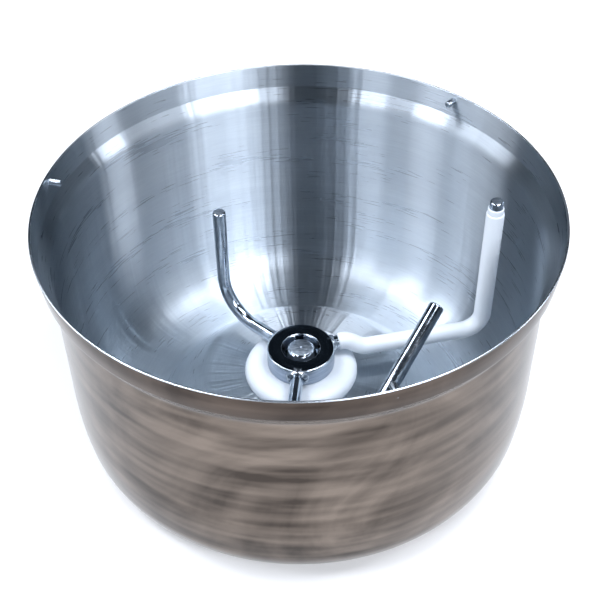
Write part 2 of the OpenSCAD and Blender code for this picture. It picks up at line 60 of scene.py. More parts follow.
def bottom(node):
    """Lowest level of a CAD node."""
    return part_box(node)[0].z


def reach(node):
    """Radius of a round CAD node that stands on the axis."""
    low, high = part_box(node)
    return max(-low.x, high.x, -low.y, high.y)


RIM_R = reach("bowl_shell") + FACET_GAP
RIM_Z = top("bowl_shell")
FLOOR_TOP = top("housing_gasket") + SHEET
HUB_R = reach("hub")
HUB_TOP = top("hub")
HUB_LOW = top("splash_disc")
SHAFT_TOP = top("drive_shaft")
DISC_R = reach("splash_disc")
DISC_LOW = bottom("splash_disc")
SHORT_TOP = top("short_arm")
SLEEVED_TOP = top("sleeved_arm")
ROD_R = 5 * MM
ROD_START = 17.5 * MM
ARM_Z = bottom("short_arm") + ROD_R
JOGGLE_Z = bottom("sleeved_arm") + ROD_R


# ---------------------------------------------------------------- finishes

def linear(code):
    """An sRGB hex colour as linear red, green, blue and alpha."""
    parts = [int(code[i:i + 2], 16) / 255 for i in (0, 2, 4)]
    return [p / 12.92 if p <= 0.04045 else ((p + 0.055) / 1.055) ** 2.4 for p in parts] + [1.0]


def add(tree, kind, inputs=None, **settings):
    """Adds a node, with its settings, its fixed inputs and its links."""
    made = tree.nodes.new(kind)
    for name, value in settings.items():
        setattr(made, name, value)
    for name, value in (inputs or {}).items():
        if isinstance(value, bpy.types.NodeSocket):
            tree.links.new(value, made.inputs[name])
        else:
            made.inputs[name].default_value = value
    return made


def material(name, inputs):
    """A new material, its tree and its shader, with the shader's fixed inputs set."""
    made = bpy.data.materials.new(name)
    made.use_nodes = True
    tree = made.node_tree
    tree.nodes.clear()
    shader = add(tree, "ShaderNodeBsdfPrincipled", inputs)
    add(tree, "ShaderNodeOutputMaterial", {"Surface": shader.outputs["BSDF"]})
    return made, tree, shader


def round_the_axis(tree):
    """The place on the piece, the same place laid flat, and its direction from the axis."""
    place = add(tree, "ShaderNodeTexCoord").outputs["Object"]
    flat = add(tree, "ShaderNodeVectorMath", {0: place, 1: (1, 1, 0)}, operation="MULTIPLY").outputs[0]
    way = add(tree, "ShaderNodeVectorMath", {0: flat}, operation="NORMALIZE").outputs[0]
    return place, flat, way


def ring_grain(tree, pitch, length):
    """Noise drawn out round the axis: pitch from line to line, and the lines' length in turns of the axis."""
    place, flat, way = round_the_axis(tree)
    radius = add(tree, "ShaderNodeVectorMath", {0: flat}, operation="LENGTH").outputs["Value"]
    height = add(tree, "ShaderNodeSeparateXYZ", {0: place}).outputs["Z"]
    around = add(tree, "ShaderNodeVectorMath", {0: way, "Scale": 1 / length}, operation="SCALE").outputs[0]
    across = add(tree, "ShaderNodeMath", {0: radius, 1: 1 / pitch}, operation="MULTIPLY").outputs[0]
    upward = add(tree, "ShaderNodeMath", {0: height, 1: 1 / pitch}, operation="MULTIPLY").outputs[0]
    stacked = add(tree, "ShaderNodeCombineXYZ", {"Z": across}).outputs[0]
    where = add(tree, "ShaderNodeVectorMath", {0: around, 1: stacked}, operation="ADD").outputs[0]
    grain = add(tree, "ShaderNodeTexNoise", {"Vector": where, "W": upward, "Scale": 1.0, "Detail": 1.5},
                noise_dimensions="4D")
    return grain.outputs["Fac"]


def lead(tree, shader, shades, roughness, relief=None, spread=(0.3, 0.7)):
    """Lets noise lead a shader's colour, roughness and relief.

    shades is (noise, dark, light), roughness (noise, low, high) and relief (noise, strength, depth). The
    middle part of the first noise, its spread, covers the whole way between the two shades."""
    noise, dark, light = shades
    part = add(tree, "ShaderNodeMapRange", {"Value": noise, "From Min": spread[0], "From Max": spread[1]})
    colour = add(tree, "ShaderNodeMix", {0: part.outputs[0], 6: linear(dark), 7: linear(light)},
                 data_type="RGBA")
    tree.links.new(colour.outputs[2], shader.inputs[0])
    noise, low, high = roughness
    rough = add(tree, "ShaderNodeMapRange", {"Value": noise, "From Min": 0.3, "From Max": 0.7,
                                             "To Min": low, "To Max": high})
    tree.links.new(rough.outputs[0], shader.inputs["Roughness"])
    if relief:
        noise, strength, depth = relief
        bump = add(tree, "ShaderNodeBump", {"Height": noise, "Strength": strength, "Distance": depth})
        tree.links.new(bump.outputs["Normal"], shader.inputs["Normal"])


def brushed_stainless():
    # 18/10 stainless, belt-brushed round the axis. The fine lines spread a light up and down far more than
    # sideways, so each light is drawn into an upright streak. Real lines lie about 0.1 mm apart; they are
    # drawn 1.2 mm apart so that they show.
    made, tree, shader = material("brushed_stainless_inside",
                                  {"Metallic": 1.0, "Anisotropic": 1.0, "Anisotropic Rotation": 0.25})
    fine = ring_grain(tree, pitch=1.2 * MM, length=0.12)
    broad = ring_grain(tree, pitch=14 * MM, length=0.5)
    grain = add(tree, "ShaderNodeMix", {0: 0.5, 2: fine, 3: broad}).outputs[0]
    shades = (grain, "B5BEC7", "C5CED5")
    # Drawing leaves the sheet very slightly wavy round its axis, which splits each streak into finer ones.
    way = round_the_axis(tree)[2]
    waves = add(tree, "ShaderNodeTexNoise", {"Vector": way, "Scale": 14.0, "Detail": 2.0}).outputs["Fac"]
    relief = (waves, 1.0, 0.3 * MM)
    tangent = add(tree, "ShaderNodeTangent", direction_type="RADIAL", axis="Z").outputs["Tangent"]
    lines = add(tree, "ShaderNodeBsdfAnisotropic", {"Anisotropy": 0.8, "Tangent": tangent})
    tree.links.new(tangent, shader.inputs["Tangent"])
    lead(tree, lines, shades, (grain, 0.42, 0.47), relief)
    lead(tree, shader, shades, (grain, 0.26, 0.32), relief)
    mixed = add(tree, "ShaderNodeMixShader", {0: 0.55, 1: shader.outputs["BSDF"], 2: lines.outputs["BSDF"]})
    output = [n for n in tree.nodes if n.type == "OUTPUT_MATERIAL"][0]
    tree.links.new(mixed.outputs[0], output.inputs["Surface"])
    return made


def polished_stainless(name, dark, light):
    # The same sheet polished on its outside: a near-mirror with faint drawing lines round the wall. Its dark
    # warm grey-brown base and the swirling clouds in it are a painted reflection of warm surroundings.
    made, tree, shader = material(name, {"Metallic": 1.0})
    lines = ring_grain(tree, pitch=8 * MM, length=0.4)
    place = add(tree, "ShaderNodeTexCoord").outputs["Object"]
    cloud = add(tree, "ShaderNodeTexNoise", {"Vector": place, "Scale": 9.0, "Detail": 4.0, "Distortion": 2.4})
    both = add(tree, "ShaderNodeMix", {0: 0.5, 2: lines, 3: cloud.outputs["Fac"]}).outputs[0]
    lead(tree, shader, (both, dark, light), (both, 0.10, 0.2), (lines, 0.08, 0.1 * MM), (0.36, 0.64))
    return made


def cut_edge():
    # The bare trimmed edge of the sheet, deburred: brighter and a little rougher than the faces.
    made, tree, shader = material("deburred_stainless_edge", {"Metallic": 1.0})
    grain = ring_grain(tree, pitch=2 * MM, length=0.4)
    lead(tree, shader, (grain, "B9C2CC", "D4DAE0"), (grain, 0.22, 0.34))
    return made


def turned_stainless(name, dark, light, low, high, pitch):
    # Stainless turned on a lathe: fine feed marks in rings, sharper and brighter across them.
    made, tree, shader = material(name, {"Metallic": 1.0, "Anisotropic": 0.5, "Anisotropic Rotation": 0.25})
    grain = ring_grain(tree, pitch, length=0.6)
    lead(tree, shader, (grain, dark, light), (grain, low, high), (grain, 0.1, 0.02 * MM))
    tangent = add(tree, "ShaderNodeTangent", direction_type="RADIAL", axis="Z")
    tree.links.new(tangent.outputs["Tangent"], shader.inputs["Tangent"])
    return made


def faced_steel():
    # A bar's sawn and faced end: short scratches one way, matt beside the polished chamfer.
    made, tree, shader = material("faced_steel_end", {"Metallic": 1.0})
    place = add(tree, "ShaderNodeTexCoord").outputs["Object"]
    drawn = add(tree, "ShaderNodeMapping", {"Vector": place, "Rotation": (0, 0, 0.5),
                                            "Scale": (250, 1400, 250)}).outputs["Vector"]
    grain = add(tree, "ShaderNodeTexNoise", {"Vector": drawn, "Scale": 1.0, "Detail": 3.0}).outputs["Fac"]
    lead(tree, shader, (grain, "7E8B9A", "BCC7D2"), (grain, 0.3, 0.5), (grain, 0.2, 0.03 * MM))
    return made


def polished_rod():
    # Drawn round bar, polished: almost a mirror, with a few fine rubs that break its reflections.
    made, tree, shader = material("polished_stainless_rod", {"Metallic": 1.0})
    place = add(tree, "ShaderNodeTexCoord").outputs["Object"]
    rubs = add(tree, "ShaderNodeTexNoise", {"Vector": place, "Scale": 160.0, "Detail": 4.0}).outputs["Fac"]
    lead(tree, shader, (rubs, "A4AEB9", "C9D2DB"), (rubs, 0.08, 0.18), (rubs, 0.05, 0.05 * MM))
    return made


def weld_metal():
    # Stainless weld metal, pickled. Its colour follows the ripples' relief: painted shade in the crevices
    # between them and a
    #     painted highlight on the lumps.
    made, tree, shader = material("pickled_stainless_weld", {"Metallic": 1.0})
    place = add(tree, "ShaderNodeTexCoord").outputs["Object"]
    lumps = add(tree, "ShaderNodeTexNoise", {"Vector": place, "Scale": 420.0, "Detail": 3.0}).outputs["Fac"]
    lead(tree, shader, (lumps, "6E7883", "D3DBE3"), (lumps, 0.12, 0.3), (lumps, 0.5, 0.4 * MM))
    return made


def moulded_polyethylene():
    # White food-grade polyethylene, moulded: a cool white satin that lets a little light in.
    made, tree, shader = material("moulded_white_polyethylene", {
        "IOR": 1.51, "Subsurface Weight": 0.15, "Subsurface Radius": (2 * MM, 2 * MM, 2 * MM),
        "Subsurface Scale": 1.0})
    place = add(tree, "ShaderNodeTexCoord").outputs["Object"]
    skin = add(tree, "ShaderNodeTexNoise", {"Vector": place, "Scale": 900.0, "Detail": 2.0}).outputs["Fac"]
    tone = add(tree, "ShaderNodeTexNoise", {"Vector": place, "Scale": 25.0, "Detail": 2.0}).outputs["Fac"]
    lead(tree, shader, (tone, "E1E9F1", "EBF1F6"), (skin, 0.32, 0.42), (skin, 0.06, 0.05 * MM))
    return made


def speckled(name, dark, light, metallic, low, high, grit, depth):
    """A material with an even grit: its shades, roughness from low to high, the grit's size and its depth."""
    made, tree, shader = material(name, {"Metallic": metallic})
    place = add(tree, "ShaderNodeTexCoord").outputs["Object"]
    even = add(tree, "ShaderNodeTexNoise", {"Vector": place, "Scale": 1 / grit, "Detail": 4.0}).outputs["Fac"]
    lead(tree, shader, (even, dark, light), (even, low, high), (even, 0.4, depth))
    return made


BRUSHED = brushed_stainless()
# The outside's warm grey-brown is a painted reflection of the room; the collar's darker copy of it is painted
# shade.
POLISHED = polished_stainless("polished_stainless_wall", "3A332E", "766B62")
COLLAR_SHEEN = polished_stainless("polished_stainless_collar", "342D29", "564C45")
EDGE = cut_edge()
# Three shades of one turned stainless: the top's darker base is a painted dark reflection, the chamfer's near
# white a painted highlight.
HUB_STEEL = turned_stainless("turned_and_polished_hub", "55606B", "78838E", 0.06, 0.12, 0.9 * MM)
HUB_SIDE = turned_stainless("satin_turned_steel", "8A97A8", "B4BECB", 0.3, 0.42, 0.5 * MM)
CHAMFER = turned_stainless("bright_turned_chamfer", "AEB9C5", "E2E8EE", 0.08, 0.16, 0.4 * MM)
FACED_END = faced_steel()
ROD = polished_rod()
WELD = weld_metal()
PLASTIC = moulded_polyethylene()
# Ball bearing steel, ground: an even mid grey with a fine tooth.
BEARING = speckled("ground_bearing_steel", "8F959C", "B4B9BF", 1.0, 0.15, 0.25, 0.6 * MM, 0.01 * MM)
# Stainless screws, studs and nuts, machined and passivated.
MACHINED = speckled("machined_stainless", "9AA3AD", "BEC6CE", 1.0, 0.22, 0.36, 0.8 * MM, 0.02 * MM)
# Spring steel, black oxide: nearly black, with a slight sheen.
BLACK_OXIDE = speckled("black_oxide_steel", "15171A", "24272B", 1.0, 0.35, 0.5, 0.7 * MM, 0.02 * MM)
# Die-cast aluminium, bead blasted: pale and matt, with a fine grit.
CAST = speckled("blasted_cast_aluminium", "9FA2A6", "C3C5C8", 1.0, 0.42, 0.58, 0.9 * MM, 0.06 * MM)
# Tin bronze, turned and oiled.
BRONZE = speckled("turned_tin_bronze", "8A6238", "B08550", 1.0, 0.25, 0.38, 0.9 * MM, 0.02 * MM)
# Black nitrile rubber, moulded: matt, with a dusty skin.
RUBBER = speckled("moulded_nitrile_rubber", "0E0E10", "1E1F22", 0.0, 0.6, 0.8, 0.8 * MM, 0.05 * MM)


# ---------------------------------------------------------------- shapes

def arc(centre, radius, start, end, steps):
    """Points on an arc, from one angle to another, in degrees."""
    turns = [math.radians(start + (end - start) * i / steps) for i in range(steps + 1)]
    return [Vector((centre[0] + radius * math.cos(a), centre[1] + radius * math.sin(a))) for a in turns]


def finished(name, work, materials, body, nodes, crease=30):
    """Makes the mesh an object on its body, in the place of its CAD nodes."""
    mesh = bpy.data.meshes.new(name)
    work.to_mesh(mesh)
    work.free()
    for m in materials:
        mesh.materials.append(m)
    mesh.shade_smooth()
    mesh.set_sharp_from_angle(angle=math.radians(crease))
    piece = bpy.data.objects.new(name, mesh)
    bpy.context.scene.collection.objects.link(piece)
    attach(piece, body)
    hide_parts(*nodes)


def revolve(outline, paints, steps=192):
    """Turns a closed outline of (radius, height) round the axis; paints: each stretch's material number."""
    work = bmesh.new()
    rings = []
    for r, z in outline:
        if r < 1e-7:
            rings.append([work.verts.new((0, 0, z))])
        else:
            turns = [math.tau * i / steps for i in range(steps)]
            rings.append([work.verts.new((r * math.cos(t), r * math.sin(t), z)) for t in turns])
    for k, here in enumerate(rings):
        there = rings[(k + 1) % len(rings)]
        if len(here) == 1 and len(there) == 1:
            continue
        for i in range(steps):
            j = (i + 1) % steps
            corners = [here[i % len(here)], here[j % len(here)], there[j % len(there)], there[i % len(there)]]
            face = work.faces.new(list(dict.fromkeys(corners)))
            face.material_index = paints[k]
    bmesh.ops.recalc_face_normals(work, faces=work.faces)
    return work


def fillet(corner, before, after, bend, steps):
    """The arc that rounds one corner of a line, as points."""
    u = (corner - before).normalized()
    v = (after - corner).normalized()
    turn = u.angle(v)
    back = bend * math.tan(turn / 2)
    inward = (v - u * u.dot(v)).normalized()
    start = corner - u * back
    turns = [turn * i / steps for i in range(steps + 1)]
    return [start + u * bend * math.sin(t) + inward * bend * (1 - math.cos(t)) for t in turns]


def bent_line(corners, bends, steps=14):
    """A line through its corners, each inner one rounded to its bend radius."""
    points = [corners[0]]
    for i, bend in enumerate(bends):
        points += fillet(corners[i + 1], corners[i], corners[i + 2], bend, steps)
    return points + [corners[-1]]


def frames_along(points):
    """A direction and two crosswise axes at each point, turning no more than the line does."""
    behind = [points[0]] + points[:-1]
    ahead = points[1:] + [points[-1]]
    ways = [(b - a).normalized() for a, b in zip(behind, ahead)]
    side = ways[0].orthogonal().normalized()
    frames = []
    for way in ways:
        side = (side - way * side.dot(way)).normalized()
        frames.append((way, side, way.cross(side)))
    return frames


def sweep(points, radii, steps=40, bore=None):
    """A round bar, or a tube with a bore, along a line: one radius for each point."""
    work = bmesh.new()
    frames = frames_along(points)
    around = [math.tau * i / steps for i in range(steps)]

    def ring(at, frame_here, radius):
        _, a, b = frame_here
        return [work.verts.new(at + (a * math.cos(t) + b * math.sin(t)) * radius) for t in around]

    rings = [ring(p, f, r) for p, f, r in zip(points, frames, radii)]
    if bore:
        rings += [ring(p, f, bore) for p, f in reversed(list(zip(points, frames)))]
        rings.append(rings[0])
    for here, there in zip(rings, rings[1:]):
        for i in range(steps):
            j = (i + 1) % steps
            work.faces.new([here[i], here[j], there[j], there[i]])
    if not bore:
        work.faces.new(rings[0])
        work.faces.new(rings[-1])
    bmesh.ops.recalc_face_normals(work, faces=work.faces)
    return work


# ---------------------------------------------------------------- the bowl

FLOOR_HOLE_R = 20.7 * MM
COLLAR_H = 17.7 * MM
COLLAR_FLARE = 7.0
WALL_TOP_R = 170.6 * MM
WALL_LEAN = 0.3
COLLAR_BEND = 3 * MM
SHOULDER_BEND = 12 * MM
SHOULDER_LEAN = 35.0
DRAW_BEND = 280 * MM
DRAW_LEAN = 8.0
KNUCKLE_R = 38 * MM
FOOT_IN_R = 120 * MM
DOME_SLOPE = 45.0
DOME_TOP_BEND = 16 * MM
DOME_FOOT_BEND = 22 * MM
LIP = 0.5 * MM
BOWL_STEPS = 256


def sin(a):
    """Sine of an angle in degrees."""
    return math.sin(math.radians(a))


def cos(a):
    """Cosine of an angle in degrees."""
    return math.cos(math.radians(a))


def bend(centre, radius, start, end, side, steps=18):
    """Stations round a bend of the sheet: a point on its outer side and the way to its inner side."""
    stations = []
    for i in range(steps + 1):
        a = start + (end - start) * i / steps
        way = Vector((cos(a), sin(a)))
        stations.append((Vector(centre) + way * radius, way * -side))
    return stations


def sheet_stations():
    """The drawn sheet's outer side, from the hole in its floor out to the rim."""
    dome_h = FLOOR_TOP - SHEET
    bends_h = (DOME_TOP_BEND + DOME_FOOT_BEND) * (1 - cos(DOME_SLOPE))
    flat_r = FOOT_IN_R - (dome_h - bends_h) / math.tan(math.radians(DOME_SLOPE))
    flat_r -= (DOME_TOP_BEND + DOME_FOOT_BEND) * sin(DOME_SLOPE)
    collar_low = RIM_Z - COLLAR_H
    collar_r = RIM_R - COLLAR_H * math.tan(math.radians(COLLAR_FLARE))
    arcs_r = SHOULDER_BEND * (cos(WALL_LEAN) - cos(SHOULDER_LEAN))
    arcs_r += COLLAR_BEND * (cos(COLLAR_FLARE) - cos(SHOULDER_LEAN))
    slant = (collar_r - WALL_TOP_R - arcs_r) / sin(SHOULDER_LEAN)
    shoulder_h = SHOULDER_BEND * (sin(SHOULDER_LEAN) - sin(WALL_LEAN))
    shoulder_h += COLLAR_BEND * (sin(SHOULDER_LEAN) - sin(COLLAR_FLARE)) + slant * cos(SHOULDER_LEAN)
    wall_top = collar_low - shoulder_h
    knuckle_top = KNUCKLE_R * (1 - sin(DRAW_LEAN))
    wall_low = knuckle_top + DRAW_BEND * (sin(DRAW_LEAN) - sin(WALL_LEAN))
    wall_low_r = WALL_TOP_R - (wall_top - wall_low) * math.tan(math.radians(WALL_LEAN))
    knuckle_r = wall_low_r - DRAW_BEND * (cos(WALL_LEAN) - cos(DRAW_LEAN))
    foot_out_r = knuckle_r - KNUCKLE_R * cos(DRAW_LEAN)
    stations = [(Vector((FLOOR_HOLE_R, dome_h)), Vector((0, 1)))]
    stations += bend((flat_r, dome_h - DOME_TOP_BEND), DOME_TOP_BEND, 90, 90 - DOME_SLOPE, -1)
    stations += bend((FOOT_IN_R, DOME_FOOT_BEND), DOME_FOOT_BEND, 270 - DOME_SLOPE, 270, 1)
    stations += bend((foot_out_r, KNUCKLE_R), KNUCKLE_R, -90, -DRAW_LEAN, 1, 30)
    draw_at = (knuckle_r - DRAW_BEND * cos(DRAW_LEAN), knuckle_top + DRAW_BEND * sin(DRAW_LEAN))
    stations += bend(draw_at, DRAW_BEND, -DRAW_LEAN, -WALL_LEAN, 1, 14)
    shoulder_at = (WALL_TOP_R + SHOULDER_BEND * cos(WALL_LEAN), wall_top - SHOULDER_BEND * sin(WALL_LEAN))
    stations += bend(shoulder_at, SHOULDER_BEND, 180 - WALL_LEAN, 180 - SHOULDER_LEAN, -1)
    collar_at = (collar_r - COLLAR_BEND * cos(COLLAR_FLARE), collar_low + COLLAR_BEND * sin(COLLAR_FLARE))
    stations += bend(collar_at, COLLAR_BEND, -SHOULDER_LEAN, -COLLAR_FLARE, 1, 10)
    stations.append((Vector((RIM_R - LIP * math.tan(math.radians(COLLAR_FLARE)), RIM_Z - LIP)),
                     Vector((-cos(COLLAR_FLARE), sin(COLLAR_FLARE)))))
    return stations


def bowl():
    """The drawn bowl: polished outside, brushed in rings inside, bare at the trimmed edges."""
    wall_paint, inside_paint, edge_paint, collar_paint = range(4)
    stations = sheet_stations()
    outside = [p for p, _ in stations]
    inside = [p + way * SHEET for p, way in reversed(stations)]
    across = inside[0] - outside[-1]
    lip = [outside[-1] + across * (1 - cos(a)) / 2 + Vector((0, LIP * sin(a))) for a in range(15, 180, 15)]
    outline = outside + lip + inside
    # The collar band above this level takes the darker copy of the outside finish: painted shade over the
    # painted reflection.
    collar_low = RIM_Z - COLLAR_H - MM
    paints = [collar_paint if p.y > collar_low else wall_paint for p in outside[:-1]]
    paints += [edge_paint] * (len(lip) + 1) + [inside_paint] * (len(inside) - 1) + [edge_paint]
    work = revolve(outline, paints, BOWL_STEPS)
    finished("bowl", work, [POLISHED, BRUSHED, EDGE, COLLAR_SHEEN], "bowl", ["bowl_shell"])


# ---------------------------------------------------------------- the kneading tool

RECESS_R = 14.6 * MM
RECESS_FLOOR_R = 11.9 * MM
RECESS_D = 5.5 * MM
GROOVE_D = 9 * MM
HUB_NECK_R = 16 * MM
HUB_EDGE = 1.1 * MM
HUB_MOUTH = 0.3 * MM
HUB_FOOT_CHAMFER = 0.4 * MM
SHAFT_R = 10 * MM
SHAFT_COLLAR_R = 12 * MM
SHAFT_TAIL_R = 6.5 * MM
BORE_GAP = 0.05 * MM
KEY_W = 6 * MM
KEY_GAP = 0.35 * MM
KEY_SLOT_R = 14.1 * MM
KEY_SEAT_D = 3 * MM
KEY_AZ = 95.0
SKIRT = 5 * MM
SKIRT_CHAMFER = 1.5 * MM


def cut_out(work, low, high, azimuth):
    """Cuts a square slot, given at azimuth 0, out of a mesh."""
    size = [b - a for a, b in zip(low, high)]
    middle = [(a + b) / 2 for a, b in zip(low, high)]
    turned = Matrix.Rotation(math.radians(azimuth), 4, "Z") @ Matrix.Translation(middle)
    block = bmesh.new()
    bmesh.ops.create_cube(block, size=1.0, matrix=turned @ Matrix.Diagonal((*size, 1.0)))
    parts = []
    for shape in (work, block):
        part = bpy.data.objects.new("cutting", bpy.data.meshes.new("cutting"))
        shape.to_mesh(part.data)
        shape.free()
        bpy.context.scene.collection.objects.link(part)
        parts.append(part)
    cutter = parts[0].modifiers.new("slot", "BOOLEAN")
    cutter.operation = "DIFFERENCE"
    cutter.object = parts[1]
    shown = parts[0].evaluated_get(bpy.context.evaluated_depsgraph_get())
    result = bmesh.new()
    result.from_mesh(shown.to_mesh())
    shown.to_mesh_clear()
    for part in parts:
        bpy.data.objects.remove(part)
    return result


def hub():
    """The turned hub: mirror top painted darker, a painted dark reflection; rounded edge painted bright, a
    painted highlight;
    satin side, conical recess and keyed bore.
    """
    top_paint, side_paint, edge_paint = range(3)
    neck_low = bottom("hub")
    bore_r = SHAFT_R + BORE_GAP
    edge = arc((HUB_R - HUB_EDGE, HUB_TOP - HUB_EDGE), HUB_EDGE, 0, 90, 8)
    mouth = arc((RECESS_R + HUB_MOUTH, HUB_TOP - HUB_MOUTH), HUB_MOUTH, 90, 170, 4)
    outline = [Vector((bore_r, neck_low)), Vector((HUB_NECK_R, neck_low)), Vector((HUB_NECK_R, HUB_LOW)),
               Vector((HUB_R - HUB_FOOT_CHAMFER, HUB_LOW)), Vector((HUB_R, HUB_LOW + HUB_FOOT_CHAMFER))]
    paints = [side_paint] * len(outline)
    outline += edge + mouth
    paints += [edge_paint] * (len(edge) - 1) + [top_paint] + [edge_paint] * len(mouth)
    outline += [Vector((RECESS_FLOOR_R, HUB_TOP - RECESS_D)), Vector((RECESS_FLOOR_R, HUB_TOP - GROOVE_D)),
                Vector((bore_r, HUB_TOP - GROOVE_D))]
    paints += [top_paint, top_paint, side_paint]
    work = revolve(outline, paints, 160)
    slot_w = KEY_W / 2 + KEY_GAP
    work = cut_out(work, (0, -slot_w, neck_low - MM), (KEY_SLOT_R, slot_w, HUB_TOP + MM), KEY_AZ)
    finished("hub_ring", work, [HUB_STEEL, HUB_SIDE, CHAMFER], "kneading_tool", ["hub"])


def splash_disc():
    """The white disc under the hub, with its rounded edge and turned-down skirt."""
    neck_r, skirt_r = HUB_NECK_R + 0.02 * MM, DISC_R - SKIRT
    under = bottom("hub") - MM
    shoulder_r = HUB_R + 3 * MM
    crown_low = DISC_LOW + 1.6 * MM
    wide, tall = DISC_R - shoulder_r, HUB_LOW - crown_low
    crown = [Vector((shoulder_r + wide * cos(a), crown_low + tall * sin(a) ** 0.8)) for a in range(0, 95, 5)]
    outline = [Vector((neck_r, under)), Vector((skirt_r - SKIRT_CHAMFER, under)),
               Vector((skirt_r, under - SKIRT_CHAMFER)), Vector((skirt_r, DISC_LOW)),
               Vector((DISC_R - 1.2 * MM, DISC_LOW)), Vector((DISC_R - 0.4 * MM, DISC_LOW + 0.4 * MM))]
    outline += crown + [Vector((neck_r, HUB_LOW))]
    work = revolve(outline, [0] * len(outline), 160)
    finished("white_splash_disc", work, [PLASTIC], "kneading_tool", ["splash_disc"])


def shaft():
    """The drive shaft: a faced end, a chamfer with a painted highlight and a ground journal."""
    end_paint, side_paint, edge_paint = range(3)
    low, bearing_low = bottom("drive_shaft"), bottom("lower_inner_race")
    collar_low, collar_top = bottom("upper_inner_race") + 7 * MM, top("shaft_seal") + 1.8 * MM
    outline = [Vector((0, low)), Vector((SHAFT_TAIL_R, low)), Vector((SHAFT_TAIL_R, bearing_low)),
               Vector((SHAFT_R, bearing_low)), Vector((SHAFT_R, collar_low)),
               Vector((SHAFT_COLLAR_R, collar_low)), Vector((SHAFT_COLLAR_R, collar_top)),
               Vector((SHAFT_R, collar_top)), Vector((SHAFT_R, SHAFT_TOP - 1.3 * MM))]
    paints = [side_paint] * (len(outline) - 1)
    outline += [Vector((SHAFT_R - 1.2 * MM, SHAFT_TOP - 0.1 * MM)), Vector((SHAFT_R - 1.4 * MM, SHAFT_TOP)),
                Vector((0.9 * MM, SHAFT_TOP)), Vector((0, SHAFT_TOP - 0.9 * MM))]
    paints += [edge_paint, edge_paint, end_paint, side_paint, side_paint]
    work = revolve(outline, paints, 128)
    work = cut_out(work, (SHAFT_R - KEY_SEAT_D, -KEY_W / 2, bottom("drive_key")),
                   (SHAFT_R + MM, KEY_W / 2, top("drive_key")), KEY_AZ)
    finished("keyed_shaft", work, [FACED_END, HUB_SIDE, CHAMFER], "drive", ["drive_shaft"])


# How a rod's free end is turned off: millimetres back from its end, and millimetres off its radius.
ROD_TIP = [(1.3, 0.0), (1.0, 0.04), (0.6, 0.22), (0.25, 0.55), (0.08, 0.85), (0.0, 1.15)]


def rod(name, node, corners, bends):
    """A polished bar bent through its corners, with a turned-off, faced free end."""
    line = bent_line(corners, bends)
    way = (line[-1] - line[-2]).normalized()
    points = line[:-1] + [line[-1] - way * back * MM for back, _ in ROD_TIP]
    radii = [ROD_R] * (len(line) - 1) + [ROD_R - off * MM for _, off in ROD_TIP]
    work = sweep(points, radii, 48)
    work.faces.ensure_lookup_table()
    work.faces[-1].material_index = 1
    finished(name, work, [ROD, FACED_END], "kneading_tool", [node])


SHORT_BENDS = [32 * MM]
SWEPT_BENDS = [25 * MM, 25 * MM]
SLEEVED_BENDS = [14 * MM, 14 * MM, 15.5 * MM]
SWEPT_AZ = 263.5
SWEPT_OUT = 142 * MM
SWEPT_CORNER = Vector((34.9, -148.4, 129.4)) * MM
SWEPT_TIP = Vector((87.3, -77.6, 176.6)) * MM
SLEEVED_FOOT = Vector((17, 8.6, 57.0)) * MM
STEP_TOP = Vector((35, 12.8, 58.4)) * MM
STEP_FOOT = Vector((47.5, 12.2, 0)) * MM
SLEEVE_R = 6.6 * MM
SLEEVE_FROM = 12 * MM


def sleeved_corners():
    """The sleeved arm's corners: out of the hub high, down a step, out along the floor and up."""
    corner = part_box("sleeved_arm")[1]
    riser = Vector((corner.x - ROD_R, corner.y - ROD_R, 0))
    low = Vector((0, 0, JOGGLE_Z))
    return [SLEEVED_FOOT, STEP_TOP, STEP_FOOT + low, riser + low, riser + Vector((0, 0, SLEEVED_TOP))]


def arms():
    """The three bent rods; gives the directions in which the short and the swept one leave the hub."""
    low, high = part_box("short_arm")
    level = Vector((0, 0, ARM_Z))
    foot = Vector((low.x + ROD_R, high.y - ROD_R, 0))
    short_way = foot.normalized()
    rod("short_arm_rod", "short_arm", [short_way * ROD_START + level, foot + level,
                                       foot + Vector((0, 0, SHORT_TOP))], SHORT_BENDS)
    rod("sleeved_arm_rod", "sleeved_arm", sleeved_corners(), SLEEVED_BENDS)
    swept_way = Vector((cos(SWEPT_AZ), sin(SWEPT_AZ), 0))
    rod("swept_arm_rod", "swept_arm", [swept_way * ROD_START + level, swept_way * SWEPT_OUT + level,
                                       SWEPT_CORNER, SWEPT_TIP], SWEPT_BENDS)
    return short_way, swept_way


# The sleeve's rounded start and the stepped neck at its top: millimetres from its end, and off its radius.
SLEEVE_START = [(0.0, 1.1), (0.12, 0.7), (0.4, 0.33), (0.8, 0.08), (1.2, 0.0)]
SLEEVE_NECK = [(5.7, 0.0), (5.25, 0.1), (4.95, 0.35), (4.8, 0.8), (0.55, 0.8), (0.2, 0.9), (0.0, 1.15)]


def sleeve():
    """The white sleeve: a rounded start, one thickness along the bends, and a stepped neck at its top."""
    bore = ROD_R + 0.02 * MM
    least = bore + 0.2 * MM
    corners = sleeved_corners()
    start = (corners[1] - corners[0]).normalized()
    corners[0] = corners[0] + start * SLEEVE_FROM
    corners[-1] = Vector((corners[-1].x, corners[-1].y, top("arm_sleeve")))
    line = bent_line(corners, SLEEVED_BENDS, 18)
    up = Vector((0, 0, 1))
    pairs = [(line[0] + start * way * MM, SLEEVE_R - off * MM) for way, off in SLEEVE_START]
    pairs += [(p, SLEEVE_R) for p in line[1:-1]]
    pairs += [(line[-1] - up * way * MM, SLEEVE_R - off * MM) for way, off in SLEEVE_NECK]
    work = sweep([p for p, _ in pairs], [max(r, least) for _, r in pairs], 48, bore)
    finished("white_arm_sleeve", work, [PLASTIC], "kneading_tool", ["arm_sleeve"], 40)


WELD_INSET = 0.4 * MM
WELD_TOE = 1.5 * MM
WELD_ROOT_D = 3 * MM
WELD_STEPS = 128
WELD_ROWS = 14


